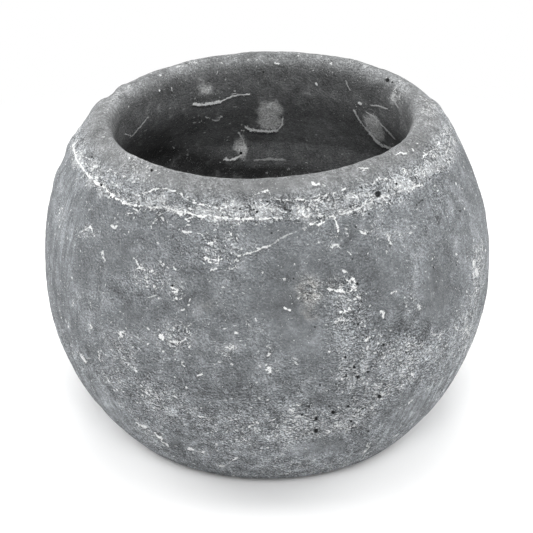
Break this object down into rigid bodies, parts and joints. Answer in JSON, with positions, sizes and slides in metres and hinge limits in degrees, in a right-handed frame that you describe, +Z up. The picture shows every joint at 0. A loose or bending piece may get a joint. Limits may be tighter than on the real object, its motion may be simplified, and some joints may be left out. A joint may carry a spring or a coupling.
{
  "type": "concrete bowl planter",
  "caption": "Ball-shaped cast concrete planter with a thick hand-formed rim, a wide open mouth, a drain hole with a lift-out rubber plug and rubber floor pads.",
  "frame": {"origin": "centre of the footprint, on the surface that the floor pads stand on", "axes": "+Z up along the bowl's axis; -Y is the front that the picture shows, +X is its right, where the rim stands highest"},
  "size_m": [0.3, 0.3, 0.2263],
  "materials": {
    "concrete": "matte",
    "plug_rubber": "matte",
    "pad_rubber": "matte"
  },
  "bodies": {
    "pot": {"bowl": "concrete", "floor_pad_1": "pad_rubber", "floor_pad_2": "pad_rubber", "floor_pad_3": "pad_rubber", "floor_pad_4": "pad_rubber"},
    "plug": {"drain_plug": "plug_rubber"}
  },
  "joints": [
    {"name": "plug_lift", "type": "slide", "parent": "pot", "child": "plug", "axis": [0, 0, 1], "range_m": [0, 0.24]}
  ]
}
